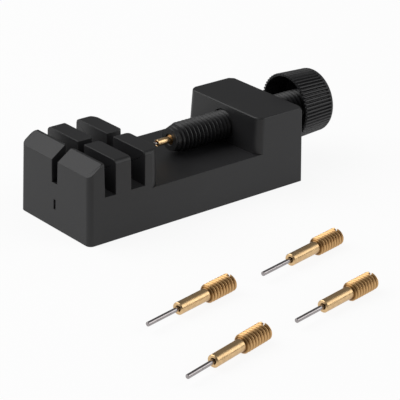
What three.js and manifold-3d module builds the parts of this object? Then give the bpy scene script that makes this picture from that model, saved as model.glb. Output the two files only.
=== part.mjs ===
// A watch bracelet link remover. A moulded block holds the bracelet on edge in the slots of its comb, and a
// moulded screw with a ribbed cup knob drives a brass tip with a steel pin along the comb's long slot.
// Four spare tips lie beside the block.
// Millimetres, +Z up. The origin is the centre of the block's underside, and +X points towards the knob.

import * as THREE from 'three';
import { mergeVertices } from 'three/addons/utils/BufferGeometryUtils.js';
import Module from 'manifold-3d';

const wasm = await Module();
wasm.setup();

// The block: a tray with the comb at its front and the screw's bearing block at its rear
const block_length = 61;
const block_width = 26;
const block_height = 18.3;
const block_draft_degrees = 1.15;
const front_corner_radius = 1.8;
const rear_corner_radius = 0.9;
const top_edge_round = 0.5;

// The comb: three ridges, counted from the front, with a slot behind each of the first two
const ridge_one_thickness = 4.5;
const slot_one_width = 2.85;
const ridge_two_thickness = 4.2;
const slot_two_width = 3.65;
const ridge_three_thickness = 4.25;
const slot_floor_step = 1;
const slot_lean_degrees = 0.7;
const ridge_side_corner_radius = 0.5;
const ridge_inner_corner_radius = 1;
const last_ridge_corner_radius = 3;
const nose_chamfer_drop = 2.2;
const nose_land_thickness = 0.6;
const long_slot_width = 2.2;
const long_slot_lean_degrees = 1.1;

// The rear block that carries the screw
const bearing_thickness = 13.35;
const bearing_corner_radius = 2.2;
const bearing_lean_degrees = 3.5;

// The gate mark low on the front face
const gate_width = 0.9;
const gate_height = 2.4;
const gate_bottom = 4.4;
const gate_depth = 0.4;

// The feed screw and its knob, one moulding
const screw_radius = 3.45;
const screw_length = 34.7;
const nose_taper_length = 2.8;
const nose_taper_depth = 0.85;
const nose_mouth_depth = 0.7;
const running_gap = 0.2;
const bore_cover = 1.48;
const bed_clearance = 0.12;
const knob_gap = 5.55;
const knob_length = 9;
const knob_radius = 8.05;
const knob_end_radius = 7.65;
const knob_edge_round = 0.8;
const rib_count = 56;
const rib_depth = 0.35;
const rim_wall = 0.85;
const cup_depth = 6.2;

// The fitted tip: a brass holder screwed into the screw's nose, with a steel pin in it
const tip_thread_radius = 1.15;
const tip_thread_length = 5.6;
const tip_thread_shown = 0.2;
const tip_shank_radius = 0.8;
const tip_shank_length = 3.4;
const tip_pin_radius = 0.35;
const tip_pin_shown = 0.75;
const tip_pin_seat = 2.6;
const seat_gap = 0.12;

// The spare tips, whose holders are of one pattern
const spare_thread_radius = 2;
const spare_thread_length = 7.9;
const spare_shank_radius = 1.33;
const spare_shank_length = 8.4;
const spare_pin_radius = 0.43;
const spare_pin_seat = 4;
const spare_mouth_gap = 0.2;
const spare_thread_chamfer = 0.45;
const spare_driver_slot_width = 0.7;
const spare_driver_slot_depth = 1;

// Where each spare lies: the middle of its holder along the block and out from the block's side, and its
// turn. Each has a pin of its own length.
const spare_a_along = 5.2;
const spare_a_aside = 31.8;
const spare_a_turn_degrees = 10;
const spare_a_pin_shown = 9.1;
const spare_b_along = -27.5;
const spare_b_aside = 35;
const spare_b_turn_degrees = 10.4;
const spare_b_pin_shown = 9;
const spare_c_along = -3.9;
const spare_c_aside = 51.8;
const spare_c_turn_degrees = 9.6;
const spare_c_pin_shown = 8.4;
const spare_d_along = -35.8;
const spare_d_aside = 55.6;
const spare_d_turn_degrees = 12.4;
const spare_d_pin_shown = 7.7;

// How finely round faces are cut, and how far a cutter runs past what it cuts
const round_steps = 48;
const small_round_steps = 24;
const corner_steps = 5;
const overrun = 2;

// Places that follow from the sizes. The screw lies under its cover in the rear block, and just over the bed.
const bore_radius = screw_radius + running_gap;
const screw_axis_height = block_height - bore_cover - bore_radius;
const bed_height = screw_axis_height - screw_radius - bed_clearance;
const slot_floor_height = bed_height + slot_floor_step;
const front_face = -block_length / 2;
const rear_face = block_length / 2;
const half_width = block_width / 2;
const slot_one_front = front_face + ridge_one_thickness;
const slot_one_rear = slot_one_front + slot_one_width;
const slot_two_front = slot_one_rear + ridge_two_thickness;
const slot_two_rear = slot_two_front + slot_two_width;
const comb_rear = slot_two_rear + ridge_three_thickness;
const bearing_front = rear_face - bearing_thickness;
const knob_rim = rear_face + knob_gap;
const knob_rear = knob_rim + knob_length;
const screw_nose = knob_rim - screw_length;
const cup_floor = knob_rim + cup_depth;
const tip_shoulder = screw_nose - tip_thread_shown;
const tip_front = tip_shoulder - tip_shank_length;

const radians = THREE.MathUtils.degToRad;

// A geometry's closed mesh as a solid that can be cut. Triangles without area, as at a pole, are left out.
function solid(geometry) {
  geometry.deleteAttribute('normal');
  geometry.deleteAttribute('uv');
  const merged = mergeVertices(geometry);
  const corners = merged.index.array;
  const kept = [];
  for (let i = 0; i < corners.length; i += 3) {
    const [a, b, c] = corners.slice(i, i + 3);
    if (a !== b && b !== c && c !== a) kept.push(a, b, c);
  }
  return new wasm.Manifold(new wasm.Mesh({
    numProp: 3,
    vertProperties: new Float32Array(merged.attributes.position.array),
    triVerts: new Uint32Array(kept),
  }));
}

// A solid's surface as a geometry
function geometryOf(body) {
  const mesh = body.getMesh();
  const geometry = new THREE.BufferGeometry();
  geometry.setAttribute('position', new THREE.BufferAttribute(mesh.vertProperties, mesh.numProp));
  geometry.setIndex(new THREE.BufferAttribute(mesh.triVerts, 1));
  geometry.computeVertexNormals();
  return geometry;
}

// A prism that stands on a plan, from one height to another
function standingPrism(plan, bottom, top) {
  const geometry = new THREE.ExtrudeGeometry(plan, { depth: top - bottom, bevelEnabled: false });
  geometry.translate(0, 0, bottom);
  return geometry;
}

// A prism that runs across the block, on a profile drawn as seen from the near side
function crossPrism(profile, from, to) {
  const geometry = new THREE.ExtrudeGeometry(profile, { depth: to - from, bevelEnabled: false });
  geometry.rotateX(Math.PI / 2);
  geometry.translate(0, to, 0);
  return geometry;
}

// A prism that runs along the block, on a profile drawn as seen from the rear
function alongPrism(profile, from, to) {
  const geometry = new THREE.ExtrudeGeometry(profile, { depth: to - from, bevelEnabled: false });
  geometry.rotateX(Math.PI / 2);
  geometry.rotateZ(Math.PI / 2);
  geometry.translate(from, 0, 0);
  return geometry;
}

// A body turned about the X axis on a profile of [distance along X, radius] pairs
function turned(profile, steps) {
  const points = profile.map(([along, radius]) => new THREE.Vector2(radius, along));
  const geometry = new THREE.LatheGeometry(points, steps);
  geometry.rotateZ(-Math.PI / 2);
  return geometry;
}

// Moves every point of a geometry by a rule of its own place
function reshaped(geometry, rule) {
  const position = geometry.attributes.position;
  const point = new THREE.Vector3();
  for (let i = 0; i < position.count; i += 1) {
    point.fromBufferAttribute(position, i);
    rule(point);
    position.setXYZ(i, point.x, point.y, point.z);
  }
  return geometry;
}

// How far a wall that leans by an angle has moved at a height above its foot
function leanAt(degrees, height) {
  return Math.tan(radians(degrees)) * height;
}

// The mould's draft: the block's sides close in as they rise
function narrowed(point) {
  point.y *= 1 - leanAt(block_draft_degrees, point.z) / half_width;
}

function drafted(point) {
  point.x *= 1 - leanAt(block_draft_degrees, point.z) / (block_length / 2);
  narrowed(point);
}

// Points of a quarter circle round a centre, from one angle to the next quarter
function quarter(x, y, radius, fromDegrees) {
  return Array.from({ length: corner_steps + 1 }, (_, i) => {
    const angle = radians(fromDegrees + 90 * i / corner_steps);
    return new THREE.Vector2(x + radius * Math.cos(angle), y + radius * Math.sin(angle));
  });
}

// The block's plan: a rectangle with its corners rounded, more at the front than at the rear
function blockPlan() {
  const front = front_face + front_corner_radius;
  const front_side = half_width - front_corner_radius;
  const rear = rear_face - rear_corner_radius;
  const rear_side = half_width - rear_corner_radius;
  return new THREE.Shape([
    ...quarter(rear, rear_side, rear_corner_radius, 0),
    ...quarter(front, front_side, front_corner_radius, 90),
    ...quarter(front, -front_side, front_corner_radius, 180),
    ...quarter(rear, -rear_side, rear_corner_radius, 270),
  ]);
}

// The whole outer form of the block, before anything is cut, with its top edge rounded
function blockForm() {
  const geometry = new THREE.ExtrudeGeometry(blockPlan(), {
    depth: block_height - top_edge_round,
    bevelThickness: top_edge_round,
    bevelSize: top_edge_round,
    bevelOffset: -top_edge_round,
    bevelSegments: 2,
  });
  const below = new THREE.BoxGeometry(block_length + overrun, block_width + overrun, overrun);
  below.translate(0, 0, -overrun / 2);
  return solid(reshaped(geometry, drafted)).subtract(solid(below));
}

// The plan of a ridge's rear wall, from the near side to the far side. Its upright edges are rounded,
// at the block's sides and at the long slot.
function ridgeRearWall(x, side_radius) {
  const slot_side = long_slot_width / 2;
  const inner = ridge_inner_corner_radius;
  return [
    new THREE.Vector2(x - side_radius, -half_width - overrun),
    ...quarter(x - side_radius, side_radius - half_width, side_radius, 270),
    ...quarter(x - inner, -slot_side - inner, inner, 0),
    ...quarter(x - inner, slot_side + inner, inner, 270),
    ...quarter(x - side_radius, half_width - side_radius, side_radius, 0),
    new THREE.Vector2(x - side_radius, half_width + overrun),
  ];
}

// The plan of a straight wall, from the far side to the near side
function straightWall(x) {
  return [
    new THREE.Vector2(x, half_width + overrun),
    new THREE.Vector2(x, -half_width - overrun),
  ];
}

// The plan of the rear block's front wall, from the far side to the near side
function bearingFrontWall(x) {
  const radius = bearing_corner_radius;
  return [
    new THREE.Vector2(x + radius, half_width + overrun),
    ...quarter(x + radius, half_width - radius, radius, 90),
    ...quarter(x + radius, radius - half_width, radius, 180),
    new THREE.Vector2(x + radius, -half_width - overrun),
  ];
}

// What is taken out between two walls that close in towards the floor
function crossCut(front_wall, rear_wall, floor, front_lean, rear_lean) {
  const plan = new THREE.Shape([...front_wall, ...rear_wall]);
  const middle = (front_wall[0].x + rear_wall[0].x) / 2;
  const geometry = standingPrism(plan, floor, block_height + overrun);
  return solid(reshaped(geometry, (point) => {
    const depth = block_height - point.z;
    point.x += point.x < middle ? leanAt(front_lean, depth) : -leanAt(rear_lean, depth);
    narrowed(point);
  }));
}

// The two slots across the comb and the bay between the comb and the rear block
function crossCuts() {
  const lean = slot_lean_degrees;
  return [
    crossCut(ridgeRearWall(slot_one_front, ridge_side_corner_radius), straightWall(slot_one_rear),
      slot_floor_height, lean, lean),
    crossCut(ridgeRearWall(slot_two_front, ridge_side_corner_radius), straightWall(slot_two_rear),
      slot_floor_height, lean, lean),
    crossCut(ridgeRearWall(comb_rear, last_ridge_corner_radius), bearingFrontWall(bearing_front),
      bed_height, lean, bearing_lean_degrees),
  ];
}

// The slot along the comb, in which the pin travels
function longSlotCut() {
  const top = block_height + overrun;
  const foot = long_slot_width / 2 - leanAt(long_slot_lean_degrees, block_height - slot_floor_height);
  const head = long_slot_width / 2 + leanAt(long_slot_lean_degrees, overrun);
  const profile = new THREE.Shape([
    new THREE.Vector2(-foot, slot_floor_height),
    new THREE.Vector2(foot, slot_floor_height),
    new THREE.Vector2(head, top),
    new THREE.Vector2(-head, top),
  ]);
  return solid(alongPrism(profile, front_face - overrun, comb_rear + overrun));
}

// The slope at the front of the first ridge, which leaves a narrow land in front of its rear wall
function noseChamferCut() {
  const foot = new THREE.Vector2(front_face, block_height - nose_chamfer_drop);
  const head = new THREE.Vector2(slot_one_front - nose_land_thickness, block_height);
  const run = head.clone().sub(foot).setLength(overrun);
  const profile = new THREE.Shape([
    foot.clone().sub(run),
    head.clone().add(run),
    new THREE.Vector2(foot.x - overrun, head.y + overrun),
  ]);
  return solid(crossPrism(profile, -half_width - overrun, half_width + overrun));
}

// The shallow gate mark on the front face
function gateCut() {
  const face = front_face + leanAt(block_draft_degrees, gate_bottom + gate_height / 2);
  const geometry = new THREE.BoxGeometry(overrun + gate_depth, gate_width, gate_height);
  geometry.translate(face + (gate_depth - overrun) / 2, 0, gate_bottom + gate_height / 2);
  return solid(geometry);
}

// The bore that the screw runs in
function boreCut() {
  const geometry = turned([
    [bearing_front - overrun, 0],
    [bearing_front - overrun, bore_radius],
    [rear_face + overrun, bore_radius],
    [rear_face + overrun, 0],
  ], round_steps);
  geometry.translate(0, 0, screw_axis_height);
  return solid(geometry);
}

function combBlock() {
  const cuts = [...crossCuts(), longSlotCut(), noseChamferCut(), gateCut(), boreCut()];
  return geometryOf(cuts.reduce((body, cut) => body.subtract(cut), blockForm()));
}

// The knob's outline across its axis: straight ribs with a flat crest and a narrow groove between them
function ribOutline() {
  const rib_crest_share = 0.42;
  const rib_root_share = 0.2;
  const pitch = 2 * Math.PI / rib_count;
  const points = [];
  for (let i = 0; i < rib_count; i += 1) {
    const corners = [
      [-rib_crest_share / 2, knob_radius],
      [rib_crest_share / 2, knob_radius],
      [1 / 2 - rib_root_share / 2, knob_radius - rib_depth],
      [1 / 2 + rib_root_share / 2, knob_radius - rib_depth],
    ];
    corners.forEach(([share, radius]) => {
      const angle = (i + share) * pitch;
      points.push(new THREE.Vector2(radius * Math.cos(angle), radius * Math.sin(angle)));
    });
  }
  return new THREE.Shape(points);
}

// The knob's ribbed outside, which tapers to the rear
function ribbedBarrel() {
  const geometry = alongPrism(ribOutline(), knob_rim, knob_rear);
  return solid(reshaped(geometry, (point) => {
    const share = (point.x - knob_rim) / knob_length;
    const scale = 1 - share * (1 - knob_end_radius / knob_radius);
    point.y *= scale;
    point.z *= scale;
  }));
}

// The knob without its ribs: a cup open to the front, with its rear edge rounded
function knobCup() {
  const outside = knob_radius + overrun;
  const inside = knob_radius - rib_depth - rim_wall;
  const edge = quarter(knob_rear - knob_edge_round, knob_end_radius - knob_edge_round, knob_edge_round, 0);
  return solid(turned([
    [cup_floor, 0],
    [cup_floor, inside - rim_wall / 2],
    [knob_rim - overrun, inside],
    [knob_rim - overrun, outside],
    [knob_rear - knob_edge_round - overrun, outside],
    ...edge.reverse().map((point) => [point.x, point.y]),
    [knob_rear, 0],
  ], round_steps));
}

// The screw as a plain shaft of its outer diameter, which tapers to its nose. The tapped hole for the tip has
// a countersunk mouth.
function screwShaft() {
  const hole = tip_thread_radius + seat_gap;
  const hole_end = tip_shoulder + tip_thread_length + seat_gap;
  return solid(turned([
    [hole_end, 0],
    [hole_end, hole],
    [screw_nose + nose_mouth_depth, hole],
    [screw_nose, hole + nose_mouth_depth],
    [screw_nose, screw_radius - nose_taper_depth],
    [screw_nose + nose_taper_length, screw_radius],
    [cup_floor + overrun / 2, screw_radius],
    [cup_floor + overrun / 2, 0],
  ], round_steps));
}

function feedScrew() {
  return geometryOf(ribbedBarrel().intersect(knobCup()).add(screwShaft()));
}

// A brass holder, from its shoulder at zero: the shank to the front with a hole for the pin, the thread behind
function holderForm(size) {
  const hole = size.pin_radius + size.mouth_gap;
  const hole_end = size.pin_seat - size.shank_length + size.mouth_gap;
  return solid(turned([
    [hole_end, 0],
    [hole_end, hole],
    [-size.shank_length, hole],
    [-size.shank_length, size.shank_radius],
    [0, size.shank_radius],
    [size.chamfer, size.thread_radius],
    [size.thread_length - size.chamfer, size.thread_radius],
    [size.thread_length, size.thread_radius - size.chamfer],
    [size.thread_length, 0],
  ], small_round_steps));
}

// The slot across a holder's rear end, by which it is screwed in
function driverSlotCut(size) {
  const reach = 2 * size.thread_radius + overrun;
  const geometry = new THREE.BoxGeometry(overrun + size.driver_depth, size.driver_width, reach);
  geometry.translate(size.thread_length + (overrun - size.driver_depth) / 2, 0, 0);
  return solid(geometry);
}

// A steel pin with a small chamfer at its tip, in the holder's hole
function pinForm(size) {
  const tip = -size.shank_length - size.pin_shown;
  const chamfer = size.pin_radius / 4;
  return turned([
    [tip, 0],
    [tip, size.pin_radius - chamfer],
    [tip + chamfer, size.pin_radius],
    [size.pin_seat - size.shank_length, size.pin_radius],
    [size.pin_seat - size.shank_length, 0],
  ], small_round_steps);
}

const fitted_size = {
  thread_radius: tip_thread_radius,
  thread_length: tip_thread_length,
  shank_radius: tip_shank_radius,
  shank_length: tip_shank_length,
  chamfer: seat_gap,
  pin_radius: tip_pin_radius,
  pin_shown: tip_pin_shown,
  pin_seat: tip_pin_seat,
  mouth_gap: seat_gap,
};

const spare_size = {
  thread_radius: spare_thread_radius,
  thread_length: spare_thread_length,
  shank_radius: spare_shank_radius,
  shank_length: spare_shank_length,
  chamfer: spare_thread_chamfer,
  driver_width: spare_driver_slot_width,
  driver_depth: spare_driver_slot_depth,
  pin_radius: spare_pin_radius,
  pin_seat: spare_pin_seat,
  mouth_gap: spare_mouth_gap,
};

const black_plastic = { color: '#2b2b2d', roughness: 0.55, metalness: 0 };
const brass = { color: '#c9a052', roughness: 0.3, metalness: 1 };
const steel = { color: '#a9a4a4', roughness: 0.3, metalness: 1 };

function part(name, geometry, finish) {
  const mesh = new THREE.Mesh(geometry, new THREE.MeshStandardMaterial(finish));
  mesh.name = name;
  return mesh;
}

// The fitted tip, in the nose of the screw
function fittedTip() {
  const group = new THREE.Group();
  group.add(part('fitted_tip_holder', geometryOf(holderForm(fitted_size)), brass));
  group.add(part('fitted_tip_pin', pinForm(fitted_size), steel));
  group.position.set(tip_shoulder, 0, screw_axis_height);
  return group;
}

// A spare tip lies on its thread, with the middle of its holder at its place
function spareTip(name, along, aside, turn_degrees, pin_shown) {
  const size = { ...spare_size, pin_shown };
  const group = new THREE.Group();
  const holder = holderForm(size).subtract(driverSlotCut(size));
  group.add(part(`spare_tip_holder_${name}`, geometryOf(holder), brass));
  group.add(part(`spare_tip_pin_${name}`, pinForm(size), steel));
  const turn = radians(turn_degrees);
  const middle = (size.thread_length - size.shank_length) / 2;
  group.rotation.z = turn;
  group.position.set(
    along - middle * Math.cos(turn),
    -half_width - aside - middle * Math.sin(turn),
    size.thread_radius,
  );
  return group;
}

const screw = part('feed_screw', feedScrew(), black_plastic);
screw.position.z = screw_axis_height;

const link_remover = new THREE.Group();
link_remover.add(part('comb_block', combBlock(), black_plastic));
link_remover.add(screw);
link_remover.add(fittedTip());
link_remover.add(spareTip('a', spare_a_along, spare_a_aside, spare_a_turn_degrees, spare_a_pin_shown));
link_remover.add(spareTip('b', spare_b_along, spare_b_aside, spare_b_turn_degrees, spare_b_pin_shown));
link_remover.add(spareTip('c', spare_c_along, spare_c_aside, spare_c_turn_degrees, spare_c_pin_shown));
link_remover.add(spareTip('d', spare_d_along, spare_d_aside, spare_d_turn_degrees, spare_d_pin_shown));

export default link_remover;
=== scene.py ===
"""The looks of a watch link remover: a slotted block, a feed screw with a ribbed cup knob, and brass tips.

It is laid out as a Blender add-on and run as a script. Lengths are in metres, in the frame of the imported
model: the origin is the centre of the block's underside, +X points along the screw to the knob, +Z is up.
"""

import math
from contextlib import contextmanager
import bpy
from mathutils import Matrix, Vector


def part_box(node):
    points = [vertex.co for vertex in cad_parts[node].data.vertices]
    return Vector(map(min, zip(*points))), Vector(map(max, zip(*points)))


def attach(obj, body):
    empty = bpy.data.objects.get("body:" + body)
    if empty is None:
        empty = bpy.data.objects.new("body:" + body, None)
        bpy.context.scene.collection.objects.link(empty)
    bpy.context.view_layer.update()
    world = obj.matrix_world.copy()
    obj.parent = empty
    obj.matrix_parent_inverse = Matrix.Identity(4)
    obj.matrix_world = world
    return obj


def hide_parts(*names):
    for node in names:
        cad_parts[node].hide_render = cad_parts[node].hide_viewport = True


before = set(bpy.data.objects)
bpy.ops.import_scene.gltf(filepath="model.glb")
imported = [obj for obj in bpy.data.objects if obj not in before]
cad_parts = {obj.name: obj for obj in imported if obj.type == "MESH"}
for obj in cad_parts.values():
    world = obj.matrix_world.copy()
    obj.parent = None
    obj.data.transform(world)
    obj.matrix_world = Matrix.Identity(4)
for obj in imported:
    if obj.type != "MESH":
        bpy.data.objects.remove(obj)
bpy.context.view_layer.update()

from types import SimpleNamespace

import bmesh
import bpy
from bpy.props import FloatProperty, FloatVectorProperty, IntProperty, PointerProperty
from mathutils import Matrix, Vector

bl_info = {
    "name": "Watch link remover",
    "version": (1, 0, 0),
    "blender": (4, 5, 0),
    "location": "3D View > Sidebar > Link remover",
    "description": "Builds a watch link remover and its spare tips around the packed frame",
    "category": "Add Mesh",
}

MM = 0.001
# How near points count as one, or as on a plane, an edge or a wall
CUT_TOLERANCE = MM / 10000
WELD = MM / 1000
SCRAP = MM / 200
HAIR = MM / 100
EDGE_REACH = MM / 20
WALL_REACH = MM / 2
SHARP_DEGREES = 32
BLOCK_LOW, BLOCK_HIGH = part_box("comb_block")
SCREW_LOW, SCREW_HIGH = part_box("feed_screw")
SCREW_AXIS = (SCREW_LOW.z + SCREW_HIGH.z) / 2
ALONG = Vector((1, 0, 0))


def size(name, description, millimetres):
    """A property that holds a length. It is written here in millimetres."""
    return FloatProperty(name=name, description=description, default=millimetres * MM, unit="LENGTH", min=0)


def angle(name, description, degrees):
    """A property that holds an angle. It is written here in degrees."""
    return FloatProperty(name=name, description=description, default=math.radians(degrees), subtype="ANGLE")


def colour(name, description, value):
    """A property that holds a linear colour."""
    return FloatVectorProperty(name=name, description=description, default=value, subtype="COLOR",
                               min=0, max=1)


def share(name, description, value):
    """A property between nothing and all."""
    return FloatProperty(name=name, description=description, default=value, min=0, max=1)


def spot(name, description, metres):
    """A property that holds a place in the studio."""
    return FloatVectorProperty(name=name, description=description, default=metres, subtype="XYZ",
                               unit="LENGTH")


def reach(name, metres):
    """A property that holds a length in the studio."""
    return FloatProperty(name=name, description="Length of a side", default=metres, unit="LENGTH", min=0)


def power(name, watts):
    """A property that holds a lamp's power."""
    return FloatProperty(name=name, description="In watts", default=watts, min=0)


class BlockSizes(bpy.types.PropertyGroup):
    """Sizes of the block, with its comb at the front and its bearing at the rear"""
    draft: angle("Draft", "How far the block's sides lean in as they rise", 1.15)
    front_corner: size("Front corners", "Radius of the upright edges at the front", 1.35)
    rear_corner: size("Rear corners", "Radius of the upright edges at the rear", 0.35)
    first_round: size("First ridge's ends", "Radius of the top edges at the ends of the first ridge", 0.8)
    end_round: size("Ridge ends", "The same radius on the other two ridges", 1.15)
    rear_cut: FloatVectorProperty(name="Rear top corners", unit="LENGTH", subtype="XYZ",
                                  description="How much of its three edges each rear top corner loses",
                                  default=(1.0 * MM, 1.5 * MM, 0.6 * MM))
    bearing_round: size("Bearing's top edge", "Radius of the edges round the top of the rear block", 0.35)
    edge_round: size("Other edges", "Radius of the edges that the slots leave", 0.14)
    nose_round: size("Nose edges", "Radius of the edges round the slope at the front", 0.06)
    ridge_one: size("First ridge", "Thickness of the ridge at the front", 4.5)
    slot_one: size("First slot", "Width of the slot behind the first ridge", 2.85)
    ridge_two: size("Second ridge", "Thickness of the middle ridge", 4.2)
    slot_two: size("Second slot", "Width of the slot behind the second ridge", 3.65)
    ridge_three: size("Third ridge", "Thickness of the ridge next to the bed", 4.25)
    slot_lean: angle("Slot lean", "How far the slots' walls close in towards the floor", 0.7)
    side_corner: size("Ridge corners", "Radius of a ridge's rear upright edges at the block's sides", 0.5)
    inner_corner: size("Inner ridge corners", "Radius of these edges at the long slot", 1.0)
    last_corner: size("Last ridge's corners", "Radius of the outer upright edges of the third ridge", 3.0)
    slot_floor: size("Slot floor", "Height of the slots' floor", 10.6)
    bed: size("Bed", "Height of the bed between comb and bearing", 9.6)
    long_slot: size("Long slot", "Width of the slot along the comb", 2.2)
    long_slot_lean: angle("Long slot's lean", "How far its walls close in towards the floor", 1.1)
    nose_drop: size("Nose drop", "How far the slope at the front falls", 2.7)
    nose_land: size("Nose land", "Width of the flat behind the slope", 0.6)
    bearing: size("Bearing", "Thickness of the rear block", 13.35)
    bearing_corner: size("Bearing's corners", "Radius of the upright edges at its front", 2.2)
    bearing_lean: angle("Bearing's lean", "How far its front wall leans back", 3.5)
    bore_gap: size("Bore gap", "Gap between the screw and its bore", 0.2)
    gate_width: size("Gate width", "Width of the gate mark on the front", 0.95)
    gate_height: size("Gate height", "Height of the gate mark", 2.6)
    gate_bottom: size("Gate bottom", "Height of the gate mark's lower end", 4.3)
    gate_depth: size("Gate depth", "Depth of the gate mark", 0.7)
    overrun: size("Overrun", "How far a cutter runs past what it cuts", 2.0)


class ScrewSizes(bpy.types.PropertyGroup):
    """Sizes of the feed screw and its knob"""
    radius: size("Thread radius", "Outer radius of the thread", 3.45)
    root: size("Root radius", "Radius at the foot of the thread", 2.6)
    pitch: size("Pitch", "Advance in one turn", 1.1)
    taper: size("Nose taper", "Length over which the screw narrows to its nose", 2.8)
    taper_depth: size("Nose taper depth", "How much smaller the nose's radius is", 0.85)
    hole: size("Hole radius", "Radius of the hole for the tip", 1.27)
    hole_depth: size("Hole depth", "Depth of the hole for the tip", 5.0)
    mouth: size("Hole mouth", "Depth of the countersink at the hole's mouth", 0.1)
    knob_length: size("Knob length", "Length of the knob's barrel", 9.0)
    knob_radius: size("Knob radius", "Radius over the ribs at the front rim", 8.05)
    knob_end_radius: size("Knob end radius", "Radius over the ribs at the rear", 7.65)
    knob_round: size("Knob round", "Radius of the knob's rear edge", 0.8)
    rim_round: size("Rim round", "Radius of the knob's front edge", 0.15)
    rib_depth: size("Rib depth", "Depth of the grooves between the ribs", 0.48)
    rib_end: size("Rib end", "Length over which the grooves run out at the rear", 0.35)
    rib_count: IntProperty(name="Ribs", description="Number of ribs round the knob", default=56, min=3)
    rim_wall: size("Rim wall", "Thickness of the rim under the grooves", 0.15)
    cup_narrowing: size("Cup narrowing", "How much smaller the cup's radius is at its floor", 0.8)
    cup_fillet: size("Cup fillet", "Radius at the edge of the cup's floor", 0.85)
    cup_depth: size("Cup depth", "Depth of the hollow in the knob", 6.2)


class FittedSizes(bpy.types.PropertyGroup):
    """Sizes of the tip in the screw's nose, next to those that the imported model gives"""
    root_share: share("Root share", "Radius at the foot of the thread, as a share of the outer one", 0.84)
    pitch: size("Pitch", "Distance from crest to crest", 0.4)
    chamfer: size("Thread chamfer", "Chamfer at both ends of the thread", 0.12)
    shank: size("Shank radius", "Radius of the plain shank", 0.8)
    shank_length: size("Shank length", "Length of the plain shank", 3.4)
    mouth: size("Mouth radius", "Radius of the hole that the pin stands in", 0.6)
    mouth_depth: size("Mouth depth", "Depth of that hole", 0.8)


class SpareSizes(bpy.types.PropertyGroup):
    """Sizes of a spare tip"""
    thread: size("Thread radius", "Outer radius of the thread", 2.0)
    root: size("Root radius", "Radius at the foot of the thread", 1.45)
    pitch: size("Pitch", "Distance from crest to crest", 0.9)
    thread_length: size("Thread length", "Length of the threaded end", 7.9)
    chamfer: size("Thread chamfer", "Chamfer at both ends of the thread", 0.3)
    shank: size("Shank radius", "Radius of the plain shank", 1.33)
    shank_length: size("Shank length", "Length of the plain shank", 8.4)
    mouth: size("Mouth radius", "Radius of the hole that the pin stands in", 0.63)
    mouth_depth: size("Mouth depth", "Depth of that hole", 1.2)
    pin: size("Pin radius", "Radius of the steel pin", 0.49)
    driver_width: size("Driver slot width", "Width of the slot across the rear end", 0.7)
    driver_depth: size("Driver slot depth", "Depth of that slot", 0.9)


def spare_place(name, along, aside):
    """A property that says where the middle of a spare tip's holder lies, written in millimetres."""
    return FloatVectorProperty(name=name, description="Along the block, and out from the block's side",
                               size=2, unit="LENGTH", default=(along * MM, aside * MM))


class SparePlaces(bpy.types.PropertyGroup):
    """Where the four spare tips lie, how they are turned, and how far their pins stand out"""
    a_place: spare_place("Place of tip A", 5.2, 31.8)
    a_turn: angle("Turn of tip A", "Its angle to the block", 10)
    a_pin: size("Pin of tip A", "How far its pin stands out", 9.1)
    b_place: spare_place("Place of tip B", -27.5, 35)
    b_turn: angle("Turn of tip B", "Its angle to the block", 10.4)
    b_pin: size("Pin of tip B", "How far its pin stands out", 9.0)
    c_place: spare_place("Place of tip C", -3.9, 51.8)
    c_turn: angle("Turn of tip C", "Its angle to the block", 9.6)
    c_pin: size("Pin of tip C", "How far its pin stands out", 8.4)
    d_place: spare_place("Place of tip D", -35.8, 55.6)
    d_turn: angle("Turn of tip D", "Its angle to the block", 12.4)
    d_pin: size("Pin of tip D", "How far its pin stands out", 7.7)


class Colours(bpy.types.PropertyGroup):
    """Colours of the finishes"""
    block: colour("Block", "Black plastic of the block", (0.009, 0.009, 0.01))
    screw: colour("Screw", "Black plastic of the screw and knob", (0.009, 0.009, 0.01))
    brass: colour("Brass", "Turned brass of the tips", (0.8, 0.55, 0.29))
    brass_thread: colour("Brass of the threads", "Browner brass on the threads", (0.74, 0.46, 0.21))
    # Tarnish and painted shade: the brass in the thread roots is darkened where shade falls in the grooves
    brass_root_tarnish_and_shade: colour("Brass in the roots", "Darker brass between the threads", (0.15, 0.065, 0.015))
    steel: colour("Steel", "Drawn steel of the pins", (0.42, 0.39, 0.39))
    floor: colour("Floor", "The pale floor", (0.85, 0.85, 0.85))


class StudioSettings(bpy.types.PropertyGroup):
    """The camera's place and the studio's lamps"""
    azimuth: angle("Azimuth", "Turn of the camera round the block", -39.701)
    elevation: angle("Elevation", "Height of the camera over the horizon", 23.821)
    roll: angle("Roll", "Turn of the camera about its own line of sight", 1.139)
    place: spot("Place", "Where the camera stands", (-0.24476, -0.30771, 0.17236))
    lens: FloatProperty(name="Lens", description="Focal length, in millimetres of the camera's sensor",
                        default=169.53, min=1)
    main_place: spot("Main lamp", "Where the main lamp hangs", (-0.42, 0.42, 0.62))
    main_width: reach("Main lamp's width", 0.85)
    main_power: power("Main lamp's power", 5.6)
    side_place: spot("Side lamp", "Where the side lamp stands", (0.5, -0.55, 0.46))
    side_width: reach("Side lamp's width", 0.65)
    side_power: power("Side lamp's power", 2.5)
    surround: share("Surround", "Light that comes from all round", 0.35)
    mirrored_surround: share("Mirrored surround", "How bright the surround is in mirrors", 0.2)
    floor_glow: share("Floor glow", "Share of the floor that the camera sees as plain white", 0.9)
    floor_mirrored: share("Mirrored floor", "The same share as seen in mirrors", 0.6)


class LinkRemoverSettings(bpy.types.PropertyGroup):
    """All the sizes, colours and studio settings"""
    block: PointerProperty(type=BlockSizes)
    screw: PointerProperty(type=ScrewSizes)
    fitted: PointerProperty(type=FittedSizes)
    spare: PointerProperty(type=SpareSizes)
    places: PointerProperty(type=SparePlaces)
    colours: PointerProperty(type=Colours)
    studio: PointerProperty(type=StudioSettings)


# Working on one piece at a time

def take(piece):
    """Selects one piece alone and makes it active."""
    bpy.ops.object.select_all(action="DESELECT")
    piece.select_set(True)
    bpy.context.view_layer.objects.active = piece


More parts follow.
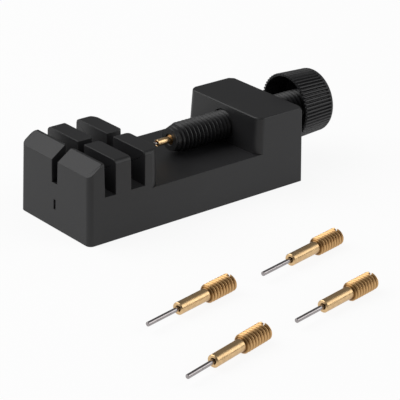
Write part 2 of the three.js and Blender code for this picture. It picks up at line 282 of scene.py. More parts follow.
@contextmanager
def editing(piece):
    """Holds a piece in edit mode, with nothing selected at first."""
    take(piece)
    bpy.ops.object.mode_set(mode="EDIT")
    bpy.ops.mesh.select_mode(type="VERT")
    bpy.ops.mesh.select_all(action="DESELECT")
    yield
    bpy.ops.object.mode_set(mode="OBJECT")


def pick(piece, kind, test):
    """Selects the vertices, edges or faces in edit mode that pass a test of their middle."""
    bpy.ops.mesh.select_mode(type=kind)
    bpy.ops.mesh.select_all(action="DESELECT")
    mesh = bmesh.from_edit_mesh(piece.data)
    items = {"VERT": mesh.verts, "EDGE": mesh.edges, "FACE": mesh.faces}[kind]
    for item in items:
        middle = item.co if kind == "VERT" else sum((v.co for v in item.verts), Vector()) / len(item.verts)
        if test(middle):
            item.select_set(True)
    mesh.select_flush_mode()
    bmesh.update_edit_mesh(piece.data)


def everything():
    """Selects all of the mesh in edit mode."""
    bpy.ops.mesh.select_all(action="SELECT")


def pull(offset):
    """Extrudes what is selected by an offset."""
    bpy.ops.mesh.extrude_region_move(TRANSFORM_OT_translate={"value": tuple(offset)})


def stretch(factors, centre=(0, 0, 0)):
    """Resizes what is selected about a centre."""
    bpy.ops.transform.resize(value=tuple(factors), center_override=tuple(centre))


def placed(piece, name):
    """Names a new piece and puts its place into its mesh."""
    piece.name = name
    piece.data.name = name
    take(piece)
    bpy.ops.object.transform_apply(location=True, rotation=True, scale=True)
    return piece


def halve(place, direction):
    """Cuts off what lies beyond a plane and closes the cut, in edit mode."""
    everything()
    bpy.ops.mesh.bisect(plane_co=tuple(place), plane_no=tuple(direction), use_fill=True, clear_outer=True,
                        threshold=CUT_TOLERANCE)


def added(name, add, **options):
    """What one of Blender's operators for primitives adds, with nothing else selected."""
    bpy.ops.object.select_all(action="DESELECT")
    add(**options)
    return placed(bpy.context.object, name)


def cuboid(name, low, high):
    """A box between two corners."""
    low, high = Vector(low), Vector(high)
    return added(name, bpy.ops.mesh.primitive_cube_add, size=1, location=(low + high) / 2, scale=high - low)


def line_of(name, points):
    """A chain of edges, drawn by extruding one corner after another."""
    piece = added(name, bpy.ops.mesh.primitive_plane_add, size=MM, location=points[0])
    with editing(piece):
        everything()
        bpy.ops.mesh.merge(type="CENTER")
        for here, there in zip(points, points[1:]):
            pull(Vector(there) - Vector(here))
    return piece


def tidy_up():
    """Merges what lies on one point and turns all faces outwards, in edit mode."""
    everything()
    bpy.ops.mesh.remove_doubles(threshold=WELD)
    bpy.ops.mesh.normals_make_consistent(inside=False)


def drawn_out(name, points, offset):
    """A solid made by extruding the face inside a chain of points."""
    piece = line_of(name, points)
    with editing(piece):
        everything()
        bpy.ops.mesh.edge_face_add()
        pull(offset)
        tidy_up()
    return piece


def prism(name, plan, bottom, top):
    """A solid that stands on a plan of (x, y) points."""
    return drawn_out(name, [(x, y, bottom) for x, y in plan], (0, 0, top - bottom))


def bar(name, outline, start, end):
    """A solid along X on an outline of (y, z) points."""
    return drawn_out(name, [(start, y, z) for y, z in outline], (end - start, 0, 0))


def turned(name, profile, steps=96, axis_height=0.0):
    """A solid turned about a line along X, from a profile of (x, radius) points."""
    piece = line_of(name, [(x, 0, axis_height + radius) for x, radius in profile])
    with editing(piece):
        everything()
        bpy.ops.mesh.spin(steps=steps, angle=math.tau, center=(0, 0, axis_height), axis=tuple(ALONG))
        tidy_up()
    return piece


def carve(piece, tool, operation="DIFFERENCE"):
    """Cuts a tool out of a piece, or joins or crosses the two, and removes the tool."""
    modifier = piece.modifiers.new("Carve", "BOOLEAN")
    modifier.operation = operation
    modifier.solver = "EXACT"
    modifier.object = tool
    apply(piece, modifier)
    bpy.data.objects.remove(tool)
    return piece


def apply(piece, modifier):
    """Applies a modifier to a piece."""
    take(piece)
    bpy.ops.object.modifier_apply(modifier=modifier.name)


def ease_edges(piece, radius, others, segments=3):
    """Rounds every sharp outward edge of a piece. Pairs of a radius and a test of the middle name others."""
    most = max(radius, *(other for other, _ in others))
    with editing(piece):
        everything()
        bpy.ops.mesh.remove_doubles(threshold=SCRAP)
        bpy.ops.mesh.dissolve_limited(angle_limit=math.radians(0.5))
        for width, test in ((radius, lambda p: True), *others):
            pick(piece, "EDGE", test)
            mesh = bmesh.from_edit_mesh(piece.data)
            for edge in mesh.edges:
                if not edge.is_convex or edge.calc_face_angle(0) < math.radians(SHARP_DEGREES):
                    edge.select_set(False)
            bmesh.update_edit_mesh(piece.data)
            bpy.ops.transform.edge_bevelweight(value=-1)
            bpy.ops.transform.edge_bevelweight(value=width / most)
    modifier = piece.modifiers.new("Ease", "BEVEL")
    modifier.width = most
    modifier.segments = segments
    modifier.limit_method = "WEIGHT"
    modifier.use_clamp_overlap = False
    apply(piece, modifier)


def smooth(piece, degrees=35):
    """Shades a piece smooth except at its sharp edges, and keeps its large faces flat."""
    take(piece)
    bpy.ops.object.shade_smooth_by_angle(angle=math.radians(degrees))
    modifier = piece.modifiers.new("Flat faces", "WEIGHTED_NORMAL")
    modifier.keep_sharp = True
    apply(piece, modifier)


def finish_piece(piece, body, slot, material, *nodes):
    """Gives a piece its finish, hangs it on the empty of the body that it rides on, and hides the model's
    parts that it stands for.
    """
    piece.data.materials.clear()
    piece.data.materials.append(material)
    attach(piece, body)
    if nodes:
        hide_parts(*nodes)
    return piece


# The block

# How many degrees an arc stops short where it meets a side or a top
SIDE_STOP = 15
TOP_STOP = 12
FLARE_SHARE = 0.5
INNER_FLARE_SHARE = 0.8
SLOT_END_PART = 6  # a cross slot's halves end at this part of the long slot's width
GATE_SHARES = (1, 0.6, 0.85)  # the gate mark's floor to its mouth


def arc(x, y, radius, start, end, steps=6):
    """Points on a circle round (x, y), from one angle in degrees to another."""
    angles = [math.radians(start + (end - start) * i / steps) for i in range(steps + 1)]
    return [(x + radius * math.cos(a), y + radius * math.sin(a)) for a in angles]


def block_plan(s):
    """The block's outline from above, with rounded corners."""
    front = BLOCK_LOW.x + s.front_corner
    rear = BLOCK_HIGH.x - s.rear_corner
    side = BLOCK_HIGH.y
    half = [*arc(rear, side - s.rear_corner, s.rear_corner, 0, 90),
            *arc(front, side - s.front_corner, s.front_corner, 90, 180)]
    return [*half, *mirrored(half)]


def narrowing(s, height):
    """How much narrower the block is at a height than at its foot."""
    return 1 - math.tan(s.draft) * height / BLOCK_HIGH.y


def block_form(s):
    """The block before it is cut: with its drafted sides, the slope at its nose and its rear top corners."""
    height = BLOCK_HIGH.z
    block = prism("block", block_plan(s), 0, height)
    nose_foot = Vector((BLOCK_LOW.x, 0, height - s.nose_drop))
    nose_head = Vector((BLOCK_LOW.x + s.ridge_one - s.nose_land, 0, height))
    slope = nose_head - nose_foot
    cut = s.rear_cut
    end_share = 1 - math.tan(s.draft) * height / BLOCK_HIGH.x
    side_share = narrowing(s, height)
    with editing(block):
        pick(block, "VERT", lambda p: p.z > height / 2)
        stretch((end_share, side_share, 1))
        halve(nose_foot, (-slope.z, 0, slope.x))
        for way in (1, -1):
            corner = Vector((BLOCK_HIGH.x * end_share, way * BLOCK_HIGH.y * side_share, height))
            halve(corner - Vector((cut.x, 0, 0)), (1 / cut.x, way / cut.y, 1 / cut.z))
        tidy_up()
    return block


def flared(points, out, length):
    """Points of an arc, carried straight on at its start or end until they are clear of the block."""
    first, second = (points[0], points[1]) if out < 0 else (points[-1], points[-2])
    step = (Vector(first) - Vector(second)).normalized() * length
    end = (first[0] + step.x, first[1] + step.y)
    return [end, *points] if out < 0 else [*points, end]


def mirrored(points):
    """The same points on the far side, in the opposite order."""
    return [(x, -y) for x, y in reversed(points)]


def ridge_back(s, x, side_radius):
    """The near half of a ridge's back wall, from the near side to the long slot, with rounded corners."""
    inner = s.inner_corner
    outer_arc = arc(x - side_radius, side_radius - BLOCK_HIGH.y, side_radius, 270 + SIDE_STOP, 360)
    inner_arc = arc(x - inner, -s.long_slot / 2 - inner, inner, 0, 90 - SIDE_STOP)
    near = flared(outer_arc, -1, side_radius * FLARE_SHARE)
    middle = flared(inner_arc, 1, inner * INNER_FLARE_SHARE)
    return [(near[0][0], -BLOCK_HIGH.y - s.overrun), *near, *middle]


def bearing_front(s, x):
    """The near half of the rear block's front wall, from the middle to the near side, with its corner."""
    radius = s.bearing_corner
    curve = arc(x + radius, radius - BLOCK_HIGH.y, radius, 180, 270 - SIDE_STOP)
    corner = flared(curve, 1, radius * FLARE_SHARE)
    return [*corner, (corner[-1][0], -BLOCK_HIGH.y - s.overrun)]


def leaning_cut(s, plan, middle, floor, front_lean, rear_lean):
    """A cutter whose walls before and behind a middle close in towards its floor."""
    height = BLOCK_HIGH.z
    top = height + s.overrun
    cut = prism("leaning_cut", plan, floor, top)
    with editing(cut):
        for level in (floor, top):
            here = lambda p: abs(p.z - level) < HAIR
            pick(cut, "VERT", lambda p: here(p) and p.x < middle)
            bpy.ops.transform.translate(value=(math.tan(front_lean) * (height - level), 0, 0))
            pick(cut, "VERT", lambda p: here(p) and p.x > middle)
            bpy.ops.transform.translate(value=(math.tan(rear_lean) * (level - height), 0, 0))
            pick(cut, "VERT", here)
            stretch((1, narrowing(s, level), 1))
    return cut


def comb_end(s):
    """Where the third ridge ends along the block."""
    return BLOCK_LOW.x + s.ridge_one + s.slot_one + s.ridge_two + s.slot_two + s.ridge_three


def end_cuts(s, start, end, radius):
    """What rounds off the top edges at the far and the near end of some ridges."""
    height = BLOCK_HIGH.z - radius
    curve = arc(BLOCK_HIGH.y * narrowing(s, height) - radius, height, radius, TOP_STOP, 90 - TOP_STOP)
    curve = flared(flared(curve, -1, radius * FLARE_SHARE), 1, radius * FLARE_SHARE)
    top = BLOCK_HIGH.z + s.overrun
    side = BLOCK_HIGH.y + s.overrun
    outline = [*curve, (curve[-1][0], top), (side, top), (side, curve[0][1])]
    return [bar("end_cut", [(way * y, z) for y, z in outline], start, end) for way in (1, -1)]


def comb_cuts(s):
    """The cuts that round the ends of the three ridges."""
    front = BLOCK_LOW.x - s.overrun
    first_slot = BLOCK_LOW.x + s.ridge_one + s.slot_one / 2
    return [
        *end_cuts(s, front, first_slot, s.first_round),
        *end_cuts(s, first_slot, comb_end(s) + s.overrun, s.end_round),
    ]


def slot_cuts(s, start, width):
    """The two halves of a slot across the comb. They end inside the long slot."""
    end = -s.long_slot / SLOT_END_PART
    rear = start + width
    wall = ridge_back(s, start, s.side_corner)
    half = [*wall, (wall[-1][0], end), (rear, end), (rear, -BLOCK_HIGH.y - s.overrun)]
    return [leaning_cut(s, plan, start + width / 2, s.slot_floor, s.slot_lean, s.slot_lean)
            for plan in (half, mirrored(half))]


def cross_cuts(s):
    """The two slots across the comb, and the bay in front of the rear block."""
    slot_one = BLOCK_LOW.x + s.ridge_one
    slot_two = slot_one + s.slot_one + s.ridge_two
    end = comb_end(s)
    bearing = BLOCK_HIGH.x - s.bearing
    near_comb = ridge_back(s, end, s.last_corner)
    near_bearing = bearing_front(s, bearing)
    bay = [*near_comb, *mirrored(near_comb), *mirrored(near_bearing), *near_bearing]
    return [
        *slot_cuts(s, slot_one, s.slot_one),
        *slot_cuts(s, slot_two, s.slot_two),
        leaning_cut(s, bay, (end + bearing) / 2, s.bed, s.slot_lean, s.bearing_lean),
    ]


def long_slot_cut(s):
    """The slot along the comb, which is narrower at its floor."""
    end = comb_end(s) + s.overrun
    top = BLOCK_HIGH.z + s.overrun
    half = s.long_slot / 2
    cut = cuboid("long_slot_cut", (BLOCK_LOW.x - s.overrun, -half, s.slot_floor), (end, half, top))
    with editing(cut):
        for level in (s.slot_floor, top):
            pick(cut, "VERT", lambda p: abs(p.z - level) < HAIR)
            stretch((1, 1 + math.tan(s.long_slot_lean) * (level - BLOCK_HIGH.z) / half, 1))
    return cut


def gate_cut(s):
    """The shallow gate mark, which narrows inwards."""
    low = BLOCK_LOW.x - s.overrun
    high = BLOCK_LOW.x + math.tan(s.draft) * s.gate_bottom + s.gate_depth
    half = s.gate_width / 2
    cut = cuboid("gate_cut", (low, -half, s.gate_bottom), (high, half, s.gate_bottom + s.gate_height))
    with editing(cut):
        pick(cut, "VERT", lambda p: p.x > BLOCK_LOW.x)
        stretch(GATE_SHARES, (0, 0, s.gate_bottom + s.gate_height / 2))
    return cut


def bore_cut(s, screw):
    """The bore that the screw runs in."""
    radius = screw.radius + s.bore_gap
    start = BLOCK_HIGH.x - s.bearing - s.overrun / 2
    end = BLOCK_HIGH.x + s.overrun
    return turned("bore_cut", [(start, 0), (start, radius), (end, radius), (end, 0)], axis_height=SCREW_AXIS)


class LINKTOOL_OT_block(bpy.types.Operator):
    """Build the block with its comb, bed and bearing"""
    bl_idname = "linktool.block"
    bl_label = "Block"

    def execute(self, context):
        settings = context.scene.link_remover
        s = settings.block
        block = block_form(s)
        for tool in (*comb_cuts(s), long_slot_cut(s), *cross_cuts(s), gate_cut(s),
                     bore_cut(s, settings.screw)):
            carve(block, tool)
        top = BLOCK_HIGH.z - EDGE_REACH
        bearing_start = BLOCK_HIGH.x - s.bearing - WALL_REACH
        slope_end = BLOCK_LOW.x + s.ridge_one - s.nose_land
        ease_edges(block, s.edge_round, (
            (s.bearing_round, lambda p: p.z > top and p.x > bearing_start),
            (s.nose_round, lambda p: p.x < slope_end and top - s.nose_drop < p.z < top),
        ))
        smooth(block)
        finish_piece(block, "block", "black_plastic", plastic("block_plastic", settings.colours.block, 0.4),
                     "comb_block")
        return {"FINISHED"}


# The feed screw and its knob

# Outlines of one turn of thread: shares of the pitch along it, and of the thread's depth
THREAD_SHARES = ((0, 0), (0.12, 0), (0.2, 0.08), (0.42, 0.94), (0.46, 1), (0.58, 1), (0.62, 0.94),
                 (0.9, 0.08), (1, 0))
SHARP_THREAD_SHARES = ((0, 0), (0.08, 0), (0.46, 0.94), (0.5, 1), (0.58, 1), (0.62, 0.94), (1, 0))
SPARE_TURNS = 2


def threaded_rod(name, start, end, root, crest, pitch, shares, axis_height=0.0, steps=64):
    """A rod along X with a right-hand thread over its whole length and flat ends."""
    turns = math.ceil((end - start) / pitch) + SPARE_TURNS
    first = start - pitch
    rod = line_of(name, [(first + along * pitch, 0, axis_height + root + rise * (crest - root))
                         for along, rise in shares])
    with editing(rod):
        everything()
        bpy.ops.transform.translate(value=(0, 0, -axis_height))
    modifier = rod.modifiers.new("Thread", "SCREW")
    modifier.axis = "X"
    modifier.angle = math.tau
    modifier.screw_offset = pitch
    modifier.iterations = turns
    modifier.steps = modifier.render_steps = steps
    modifier.use_merge_vertices = True
    modifier.merge_threshold = WELD
    apply(rod, modifier)
    with editing(rod):
        everything()
        bpy.ops.transform.translate(value=(0, 0, axis_height))
        halve((start, 0, 0), -ALONG)
        halve((end, 0, 0), ALONG)
        tidy_up()
    return rod


class LINKTOOL_OT_feed_screw(bpy.types.Operator):
    """Build the threaded screw with the tapped hole in its nose"""
    bl_idname = "linktool.feed_screw"
    bl_label = "Feed screw"

    def execute(self, context):
        settings = context.scene.link_remover
        s = settings.screw
        nose = SCREW_LOW.x
        end = SCREW_HIGH.x - s.knob_length + s.cup_depth + s.pitch
        rod = threaded_rod("feed_screw_thread", nose - s.pitch, end + s.pitch, s.root, s.radius, s.pitch,
                           THREAD_SHARES, SCREW_AXIS)
        envelope = turned("screw_envelope", [
            (nose + s.hole_depth, 0),
            (nose + s.hole_depth, s.hole),
            (nose + s.mouth, s.hole),
            (nose, s.hole + s.mouth),
            (nose, s.radius - s.taper_depth),
            (nose + s.taper, s.radius + HAIR),
            (end, s.radius + HAIR),
            (end, 0),
        ], axis_height=SCREW_AXIS)
        carve(rod, envelope, "INTERSECT")
        smooth(rod, degrees=40)
        finish_piece(rod, "screw", "screw_plastic", plastic("screw_plastic", settings.colours.screw, 0.32))
        return {"FINISHED"}


RIB_SHARES = (0, 0, 0.1, 0.65, 1, 1, 0.65, 0.1)  # the depth of each row of points in a groove
CUP_FILLET_SHARE = 0.3
CUP_OVERRUN_PART = 8


def widen(factor):
    """Resizes what is selected about the screw's axis."""
    stretch((1, factor, factor), (0, 0, SCREW_AXIS))


def ribbed_barrel(s):
    """The knob's barrel: a drum whose upright rows of points are drawn in between the ribs."""
    columns = len(RIB_SHARES)
    front = SCREW_HIGH.x - s.knob_length + s.rim_round
    rear = SCREW_HIGH.x - s.knob_round - s.rib_end
    barrel = added("feed_screw_knob", bpy.ops.mesh.primitive_cylinder_add,
                   vertices=columns * s.rib_count, radius=s.knob_radius, depth=rear - front,
                   location=((front + rear) / 2, 0, SCREW_AXIS), rotation=(0, math.pi / 2, 0))
    pitch = math.tau / s.rib_count

    def column(p):
        return round((math.atan2(p.y, p.z - SCREW_AXIS) % pitch) / pitch * columns) % columns

    def draw(test, inwards):
        for i, depth in enumerate(RIB_SHARES):
            if depth:
                pick(barrel, "VERT", lambda p: test(p) and column(p) == i)
                groove = 1 - depth * s.rib_depth / s.knob_radius
                widen(groove if inwards else 1 / groove)

    with editing(barrel):
        draw(lambda p: True, inwards=True)
        pick(barrel, "VERT", lambda p: p.x > (front + rear) / 2)
        widen(s.knob_end_radius / s.knob_radius)
        pick(barrel, "FACE", lambda p: abs(p.x - rear) < HAIR)
        pull((s.rib_end, 0, 0))
        rear += s.rib_end
        draw(lambda p: abs(p.x - rear) < HAIR, inwards=False)
        round_end(barrel, rear, 1, s.knob_end_radius, s.knob_round, steps=5)
        round_end(barrel, front, -1, s.knob_radius, s.rim_round, steps=2)
        tidy_up()
    return barrel


def round_end(piece, x, way, outer, radius, steps):
    """Carries an end face on in steps along a quarter circle, in edit mode."""
    pick(piece, "FACE", lambda p: abs(p.x - x) < HAIR)
    angles = [math.pi / 2 * i / steps for i in range(steps + 1)]
    radii = [outer - radius * (1 - math.cos(a)) for a in angles]
    places = [radius * math.sin(a) for a in angles]
    for i in range(steps):
        pull((way * (places[i + 1] - places[i]), 0, 0))
        widen(radii[i + 1] / radii[i])


class LINKTOOL_OT_knob(bpy.types.Operator):
    """Build the ribbed cup knob"""
    bl_idname = "linktool.knob"
    bl_label = "Knob"

    def execute(self, context):
        settings = context.scene.link_remover
        s = settings.screw
        knob = ribbed_barrel(s)
        rim = SCREW_HIGH.x - s.knob_length
        floor = rim + s.cup_depth
        mouth = s.knob_radius - s.rib_depth - s.rim_wall
        inner = mouth - s.cup_narrowing
        fillet = s.cup_fillet
        eased = fillet * CUP_FILLET_SHARE
        mouth_end = rim - s.cup_depth / CUP_OVERRUN_PART
        carve(knob, turned("cup_cut", [
            (floor, 0),
            (floor, inner - fillet),
            (floor - eased, inner - eased),
            (floor - fillet, inner),
            (rim, mouth),
            (mouth_end, mouth),
            (mouth_end, 0),
        ], steps=128, axis_height=SCREW_AXIS))
        smooth(knob, degrees=40)
        finish_piece(knob, "screw", "screw_plastic", plastic("knob_plastic", settings.colours.screw, 0.34),
                     "feed_screw")
        return {"FINISHED"}


# The tips

LEAD_IN_SHARE = 0.7
BEVEL_PART = 12
PIN_END_SHARES = ((0, 0.8), (0.08, 0.93), (0.25, 1))  # a pin's end, as shares of its radius


def names_in(group):
    """The names of the properties in a group."""
    return [key for key in group.bl_rna.properties.keys() if key not in ("rna_type", "name")]


def tip_sizes(group, **others):
    """A tip's sizes by name: those of a group, and others."""
    return SimpleNamespace(**{key: getattr(group, key) for key in names_in(group)}, **others)


def holder_form(name, t, driver):
    """A brass holder along X with its shoulder at zero: thread behind, shank in front."""
    holder = threaded_rod(name, -t.chamfer, t.thread_length + t.pitch, t.root, t.thread,
                          t.pitch, SHARP_THREAD_SHARES, steps=48)
    carve(holder, turned("thread_envelope", [
        (0, 0),
        (0, t.shank),
        (t.pitch * LEAD_IN_SHARE, t.thread + HAIR),
        (t.thread_length - t.chamfer, t.thread + HAIR),
        (t.thread_length, t.thread - t.chamfer),
        (t.thread_length, 0),
    ], steps=72), "INTERSECT")
    bevel = t.shank / BEVEL_PART
    front = -t.shank_length
    neck = t.thread_length / 2
    carve(holder, turned("shank", [
        (front + t.mouth_depth, 0),
        (front + t.mouth_depth, t.mouth),
        (front + bevel, t.mouth),
        (front, t.mouth + bevel),
        (front, t.shank - bevel),
        (front + bevel, t.shank),
        (0, t.shank),
        (neck, t.root / 2),
        (neck, 0),
    ], steps=72), "UNION")
    if driver:
        end = t.thread_length
        clear = t.thread + t.pitch
        half = t.driver_width / 2
        carve(holder, cuboid("driver_slot", (end - t.driver_depth, -half, -clear),
                             (end + clear, half, clear)))
    smooth(holder, degrees=30)
    return holder


def pin_form(name, t, shown):
    """A steel pin along X that stands out of the shank, with a slightly rounded end."""
    tip = -t.shank_length - shown
    end = t.mouth_depth - t.shank_length + t.pin
    radius = t.pin
    pin = turned(name, [
        (tip, 0),
        *((tip + radius * along, radius * out) for along, out in PIN_END_SHARES),
        (end, radius),
        (end, 0),
    ], steps=32)
    smooth(pin, degrees=30)
    return pin


def move_to(piece, place, turn=0.0):
    """Turns a piece about the upright and moves it, all in its mesh."""
    piece.matrix_world = Matrix.Translation(place) @ Matrix.Rotation(turn, 4, "Z")
    return placed(piece, piece.name)


def copy_of(piece, name):
    """A copy of a piece with its own mesh."""
    twin = piece.copy()
    twin.data = piece.data.copy()
    bpy.context.scene.collection.objects.link(twin)
    twin.name = name
    return twin


class LINKTOOL_OT_fitted_tip(bpy.types.Operator):
    """Build the tip in the screw's nose"""
    bl_idname = "linktool.fitted_tip"
    bl_label = "Fitted tip"

    def execute(self, context):
        settings = context.scene.link_remover
        s = settings.fitted
        holder_low, holder_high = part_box("fitted_tip_holder")
        pin_low, pin_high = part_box("fitted_tip_pin")
        thread = (holder_high.y - holder_low.y) / 2
        t = tip_sizes(s, thread=thread, root=thread * s.root_share, pin=(pin_high.y - pin_low.y) / 2,
                      thread_length=holder_high.x - holder_low.x - s.shank_length)
        place = Vector((holder_low.x + s.shank_length, 0, SCREW_AXIS))
        holder = move_to(holder_form("fitted_holder", t, False), place)
        pin = move_to(pin_form("fitted_pin", t, holder_low.x - pin_low.x), place)
        finish_piece(holder, "screw", "brass", brass("fitted_brass", settings.colours, t, place, 0),
                     "fitted_tip_holder")
        finish_piece(pin, "pin", "steel", steel("fitted_steel", settings.colours, place, 0),
                     "fitted_tip_pin")
        return {"FINISHED"}


class LINKTOOL_OT_spare_tips(bpy.types.Operator):
    """Build the four spare tips and lay them beside the block"""
    bl_idname = "linktool.spare_tips"
    bl_label = "Spare tips"

    def execute(self, context):
        settings = context.scene.link_remover
        s = settings.spare
        p = settings.places
        t = tip_sizes(s)
        model = holder_form("spare_holder", t, True)
        middle = (s.thread_length - s.shank_length) / 2
        for letter, (along, aside), turn, shown in (
                ("a", p.a_place, p.a_turn, p.a_pin), ("b", p.b_place, p.b_turn, p.b_pin),
                ("c", p.c_place, p.c_turn, p.c_pin), ("d", p.d_place, p.d_turn, p.d_pin)):
            place = Vector((along - middle * math.cos(turn), BLOCK_LOW.y - aside - middle * math.sin(turn),
                            s.thread))
            body = f"spare_{letter}"
            finish_piece(move_to(copy_of(model, f"spare_holder_{letter}"), place, turn), body, "brass",
                         brass(f"spare_brass_{letter}", settings.colours, t, place, turn),
                         f"spare_tip_holder_{letter}")
            finish_piece(move_to(pin_form(f"spare_pin_{letter}", t, shown), place, turn), body, "steel",
                         steel(f"spare_steel_{letter}", settings.colours, place, turn),
                         f"spare_tip_pin_{letter}")
        bpy.data.objects.remove(model)
        return {"FINISHED"}


# The finishes

def forms(operation):
    """The direct and the reflected form of an operator that adds a Math node."""
    def direct(self, other):
        return self.math(operation, self, other)

    def reflected(self, other):
        return self.math(operation, other, self)

    return direct, reflected


class Signal:
    """A socket of a finish's node tree. Arithmetic on it adds Math nodes."""

    def __init__(self, finish, socket):
        self.finish = finish
        self.socket = socket

    def math(self, operation, *values):
        """Adds a Math node."""
        return self.finish.node("ShaderNodeMath", {"operation": operation}, dict(enumerate(values)))

    __add__, __radd__ = forms("ADD")
    __sub__, __rsub__ = forms("SUBTRACT")
    __mul__, __rmul__ = forms("MULTIPLY")
    __truediv__, __rtruediv__ = forms("DIVIDE")
    __pow__, __rpow__ = forms("POWER")

    def rise(self, low, high):
        """0 below one value, 1 above the other, and smooth between them."""
        return self.finish.node("ShaderNodeMapRange", {"interpolation_type": "SMOOTHSTEP"},
                                {"Value": self, "From Min": low, "From Max": high})


class Nodes:
    """A node tree, written as expressions."""

    def __init__(self, tree):
        self.tree = tree

    def feed(self, socket, value):
        """Gives a socket a value or a link."""
        if isinstance(value, Signal):
            self.tree.links.new(value.socket, socket)
        elif socket.type == "RGBA" and len(value) == 3:
            socket.default_value = (*value, 1)
        else:
            socket.default_value = value

    def node(self, kind, settings=None, inputs=None, output=0):
        """Adds a node, sets it first, feeds its inputs, and gives one of its outputs."""
        made = self.tree.nodes.new(kind)
        for key, value in (settings or {}).items():
            setattr(made, key, value)
        for key, value in (inputs or {}).items():
            self.feed(made.inputs[key], value)
        return Signal(self, made.outputs[output]) if made.outputs else None

    def ray(self, kind):
        """1 for one kind of ray, and 0 for the others."""
        return self.node("ShaderNodeLightPath", output=f"Is {kind} Ray")


class Finish(Nodes):
    """A material with one Principled shader and the nodes that feed it."""

    def __init__(self, name, **sockets):
        self.material = bpy.data.materials.new(name)
        self.material.use_nodes = True
        super().__init__(self.material.node_tree)
        self.shader = self.tree.nodes["Principled BSDF"]
        self.set(**sockets)

    def set(self, **sockets):
        """Feeds the shader's sockets, whose names are written with underscores."""
        for name, value in sockets.items():
            self.feed(self.shader.inputs[name.replace("_", " ")], value)

    def place(self, place=(0, 0, 0), turn=0.0):
        """Object coordinates as seen from a place on the piece, turned about the upright."""
        here = self.node("ShaderNodeTexCoord", output="Object")
        return self.node("ShaderNodeMapping", {"vector_type": "TEXTURE"},
                         {"Vector": here, "Location": tuple(place), "Rotation": (0, 0, turn)})

    def noise(self, vector, scale, detail=2.0, roughness=0.5, stretch_to=(1, 1, 1)):
        """Noise with so many cells to the metre, stretched along some axes."""
        scaled = self.node("ShaderNodeVectorMath", {"operation": "MULTIPLY"}, {0: vector, 1: stretch_to})
        return self.node("ShaderNodeTexNoise", None, {"Vector": scaled, "Scale": scale, "Detail": detail,
                                                      "Roughness": roughness})

    def mix(self, factor, low, high):
        """A colour between two colours."""
        return self.node("ShaderNodeMix", {"data_type": "RGBA"}, {0: factor, 6: low, 7: high}, output=2)

    def bump(self, height, strength, distance):
        """A normal that follows a height."""
        return self.node("ShaderNodeBump", None, {"Height": height, "Strength": strength,
                                                  "Distance": distance})


def shaded(value, factor):
    """A colour made lighter or darker."""
    return tuple(c * factor for c in value)


def plastic(name, base, roughness):
    """Black moulded plastic: a fine satin grain, faint flow marks and a few light scuffs."""
    finish = Finish(name, IOR=1.5)
    here = finish.place()
    flow = finish.noise(here, scale=60, detail=3)
    grain = finish.noise(here, scale=5200)
    scuffs = finish.noise(here, scale=900, detail=4, roughness=0.7, stretch_to=(0.25, 1, 1)).rise(0.62, 0.8)
    tone = finish.mix(flow.rise(0.35, 0.65), shaded(base, 0.88), shaded(base, 1.14))
    finish.set(
        Base_Color=finish.mix(scuffs * 0.25, tone, shaded(base, 2.2)),
        Roughness=roughness + 0.1 * flow - 0.06 * scuffs + 0.06 * grain,
        Normal=finish.bump(grain + 0.5 * scuffs, strength=0.25, distance=0.02 * MM),
    )
    return finish.material


def brass(name, colours, t, place, turn):
    """Turned brass: fine rings from the tool, and darker roots between the threads, which are tarnish
    together with painted shade.
    """
    finish = Finish(name, Metallic=1.0)
    here = finish.place(place, turn)
    across = finish.node("ShaderNodeSeparateXYZ", None, {0: here})
    y = Signal(finish, across.socket.node.outputs[1])
    z = Signal(finish, across.socket.node.outputs[2])
    radius = (y * y + z * z) ** 0.5
    rings = finish.noise(here, scale=9000, roughness=0.6, stretch_to=(1, 0.02, 0.02))
    stain = finish.noise(here, scale=700, detail=3)
    on_thread = across.rise(-0.1 * MM, 0.1 * MM)
    # Painted shade, with some tarnish: the thread roots are darkened the nearer they lie to the axis
    root = 1 - radius.rise(t.root, t.thread)
    tone = finish.mix(stain.rise(0.3, 0.75), colours.brass[:], shaded(colours.brass, 0.82))
    cut = finish.mix(root, colours.brass_thread[:], colours.brass_root_tarnish_and_shade[:])
    finish.set(
        Base_Color=finish.mix(on_thread, tone, cut),
        Roughness=0.2 + 0.12 * rings + 0.12 * stain + 0.06 * on_thread,
        Normal=finish.bump(rings, strength=0.2, distance=0.01 * MM),
    )
    return finish.material


def steel(name, colours, place, turn):
    """Drawn steel wire with faint lines along it."""
    finish = Finish(name, Metallic=1.0)
    here = finish.place(place, turn)
    lines = finish.noise(here, scale=9000, roughness=0.6, stretch_to=(0.03, 1, 1))
    stain = finish.noise(here, scale=800, detail=3)
    finish.set(
        Base_Color=finish.mix(stain, colours.steel[:], shaded(colours.steel, 0.75)),
        Roughness=0.12 + 0.1 * lines + 0.06 * stain,
        Normal=finish.bump(lines, strength=0.15, distance=0.005 * MM),
    )
    return finish.material


# The studio

LAMP_TARGET = (0, -20 * MM, 8 * MM)


def seen_white(name, base, seen_share, mirrored_share):
    """A pale matt floor that the camera and mirrors see as near white, and that still takes some shadow."""
    material = bpy.data.materials.new(name)
    material.use_nodes = True
    nodes = Nodes(material.node_tree)
    nodes.tree.nodes.clear()
    seen = seen_share * (nodes.ray("Camera") + nodes.ray("Transmission"))
    seen = seen + mirrored_share * nodes.ray("Glossy")
    matt = nodes.node("ShaderNodeBsdfDiffuse", None, {"Color": base})
    glow = nodes.node("ShaderNodeEmission", None, {"Color": (1, 1, 1), "Strength": 1})
    mixed = nodes.node("ShaderNodeMixShader", None, {0: seen, 1: matt, 2: glow})
    nodes.node("ShaderNodeOutputMaterial", None, {"Surface": mixed})
    return material


def lamp(name, place, target, width, watts):
    """A soft square lamp that points at a target."""
    data = bpy.data.lights.new(name, "AREA")
    data.size = width
    data.energy = watts
    obj = bpy.data.objects.new(name, data)
    obj.location = place
    obj.rotation_euler = (Vector(target) - Vector(place)).to_track_quat("-Z", "Y").to_euler()
    bpy.context.scene.collection.objects.link(obj)


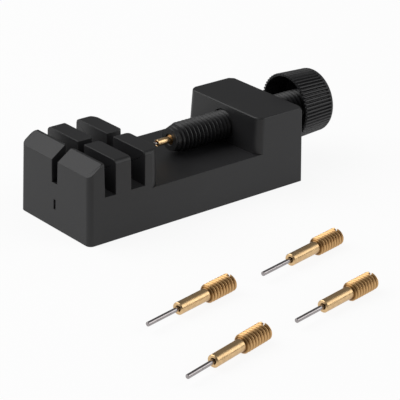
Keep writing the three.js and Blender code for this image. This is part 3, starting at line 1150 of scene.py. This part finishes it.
def set_world(s):
    """A white surround for the camera, and a grey one for mirrors and for the light that it gives."""
    world = bpy.data.worlds.new("Studio")
    bpy.context.scene.world = world
    world.use_nodes = True
    nodes = Nodes(world.node_tree)
    background = nodes.tree.nodes["Background"]
    seen = nodes.ray("Camera") + nodes.ray("Transmission")
    level = s.surround + (1 - s.surround) * seen + (s.mirrored_surround - s.surround) * nodes.ray("Glossy")
    nodes.feed(background.inputs["Color"], (1, 1, 1))
    nodes.feed(background.inputs["Strength"], level)


class LINKTOOL_OT_stage(bpy.types.Operator):
    """Set up the floor, the lamps and the camera"""
    bl_idname = "linktool.stage"
    bl_label = "Stage"

    def execute(self, context):
        settings = context.scene.link_remover
        floor = added("floor", bpy.ops.mesh.primitive_plane_add, size=3)
        s = settings.studio
        floor.data.materials.append(seen_white("floor", settings.colours.floor[:], s.floor_glow,
                                               s.floor_mirrored))
        set_world(s)
        lamp("main", s.main_place, LAMP_TARGET, s.main_width, s.main_power)
        lamp("side", s.side_place, LAMP_TARGET, s.side_width, s.side_power)
        place_camera(s)
        context.scene.view_settings.view_transform = "Standard"
        return {"FINISHED"}


def place_camera(s):
    """Stands the camera where the photograph was taken from."""
    right = Vector((math.cos(s.azimuth), math.sin(s.azimuth), 0))
    back = Vector((math.sin(s.azimuth) * math.cos(s.elevation), -math.cos(s.azimuth) * math.cos(s.elevation),
                   math.sin(s.elevation)))
    up = back.cross(right)
    rolled_right = math.cos(s.roll) * right + math.sin(s.roll) * up
    rolled_up = back.cross(rolled_right)
    data = bpy.data.cameras.new("camera")
    data.lens = s.lens
    data.sensor_width = 36
    data.clip_start = 0.01
    data.clip_end = 10
    camera = bpy.data.objects.new("camera", data)
    turn = Matrix((rolled_right, rolled_up, back)).transposed()
    camera.matrix_world = Matrix.Translation(s.place) @ turn.to_4x4()
    bpy.context.scene.collection.objects.link(camera)
    bpy.context.scene.camera = camera


class LINKTOOL_PT_sidebar(bpy.types.Panel):
    """Lists the pieces of the watch link remover"""
    bl_label = "Link remover"
    bl_idname = "LINKTOOL_PT_sidebar"
    bl_space_type = "VIEW_3D"
    bl_region_type = "UI"
    bl_category = "Link remover"

    def draw(self, context):
        for operator in OPERATORS:
            self.layout.operator(operator.bl_idname)
        settings = context.scene.link_remover
        for name in names_in(settings):
            box = self.layout.box()
            group = getattr(settings, name)
            for key in names_in(group):
                box.prop(group, key)


OPERATORS = (LINKTOOL_OT_block, LINKTOOL_OT_feed_screw, LINKTOOL_OT_knob, LINKTOOL_OT_fitted_tip,
             LINKTOOL_OT_spare_tips, LINKTOOL_OT_stage)
GROUPS = (BlockSizes, ScrewSizes, FittedSizes, SpareSizes, SparePlaces, Colours, StudioSettings,
          LinkRemoverSettings)


def register():
    for cls in (*GROUPS, *OPERATORS, LINKTOOL_PT_sidebar):
        bpy.utils.register_class(cls)
    bpy.types.Scene.link_remover = PointerProperty(type=LinkRemoverSettings)


def unregister():
    del bpy.types.Scene.link_remover
    for cls in reversed((*GROUPS, *OPERATORS, LINKTOOL_PT_sidebar)):
        bpy.utils.unregister_class(cls)


def main():
    register()
    bpy.ops.linktool.block()
    bpy.ops.linktool.feed_screw()
    bpy.ops.linktool.knob()
    bpy.ops.linktool.fitted_tip()
    bpy.ops.linktool.spare_tips()
    bpy.ops.linktool.stage()


if __name__ == "__main__":
    main()
